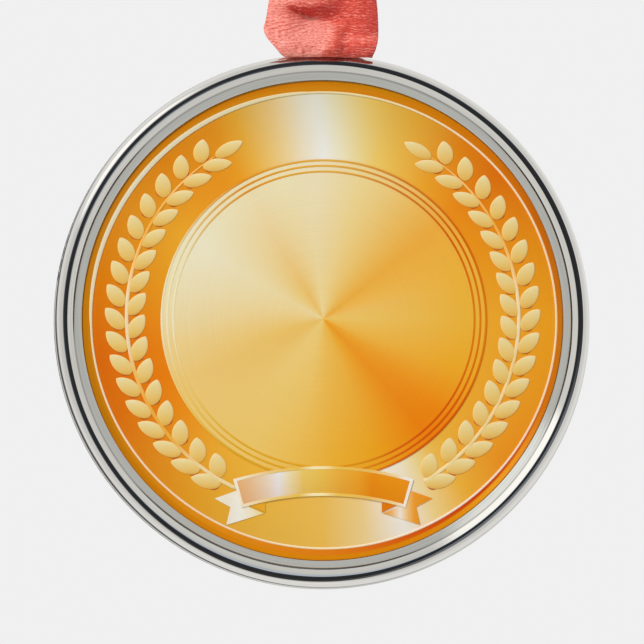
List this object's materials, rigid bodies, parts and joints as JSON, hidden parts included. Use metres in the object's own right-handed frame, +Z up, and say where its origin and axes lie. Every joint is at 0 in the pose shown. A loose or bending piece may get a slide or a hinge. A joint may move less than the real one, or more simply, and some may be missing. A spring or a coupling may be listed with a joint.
{
  "type": "hanging award medal",
  "caption": "Round award medal: gold face with laurel branches and a blank banner in a polished frame, hung by a wire bail from a satin ribbon loop.",
  "frame": {"origin": "inside top of the ribbon loop, where a hook or a peg carries it", "axes": "+Z up along the hanging ribbon, +Y out of the medal's back, so the face looks along -Y"},
  "size_m": [0.0656, 0.0092, 0.1294],
  "materials": {
    "ribbon": "coral red satin ribbon",
    "thread": "sewing thread in the ribbon's colour",
    "bail_wire": "polished plated wire",
    "frame": "polished silver plate with hairline scratches",
    "shell": "polished silver plate, less bright than the frame",
    "back": "brushed",
    "pad": "uncoated card",
    "ground": "gold lacquer over spun metal",
    "band": "deep gold lacquer",
    "border": "pale gold",
    "disc": "spun gold with fine concentric brushing",
    "line": "orange gold",
    "stem": "pale gold",
    "leaf": "pale satin gold",
    "banner": "satin gold",
    "banner_edge": "pale gold",
    "tail": "pale gold",
    "fold": "shaded gold"
  },
  "bodies": {
    "ribbon": {"ribbon_loop": "ribbon", "ribbon_stitching": "thread"},
    "bail": {"bail": "bail_wire"},
    "medal": {"bezel": "frame", "rear_shell": "shell", "back_plate": "back", "backing_pad": "pad", "face_plate": "ground", "rim_band": "band", "border_ring": "border", "centre_disc": "disc", "ring_line_outer": "line", "ring_line_middle": "line", "ring_line_inner": "line", "laurel_left_stem": "stem", "laurel_left_leaves": "leaf", "laurel_right_stem": "stem", "laurel_right_leaves": "leaf", "banner_panel": "banner", "banner_border": "banner_edge", "banner_tail_left": "tail", "banner_tail_right": "tail", "banner_fold_left": "fold", "banner_fold_right": "fold"}
  },
  "joints": [
    {"name": "bail_swing", "type": "hinge", "parent": "ribbon", "child": "bail", "pos_m": [0, 0, -0.062], "axis": [1, 0, 0], "range_deg": [-35, 35]},
    {"name": "medal_tilt", "type": "hinge", "parent": "bail", "child": "medal", "pos_m": [0, 0, -0.0661], "axis": [1, 0, 0], "range_deg": [-4, 60]}
  ]
}
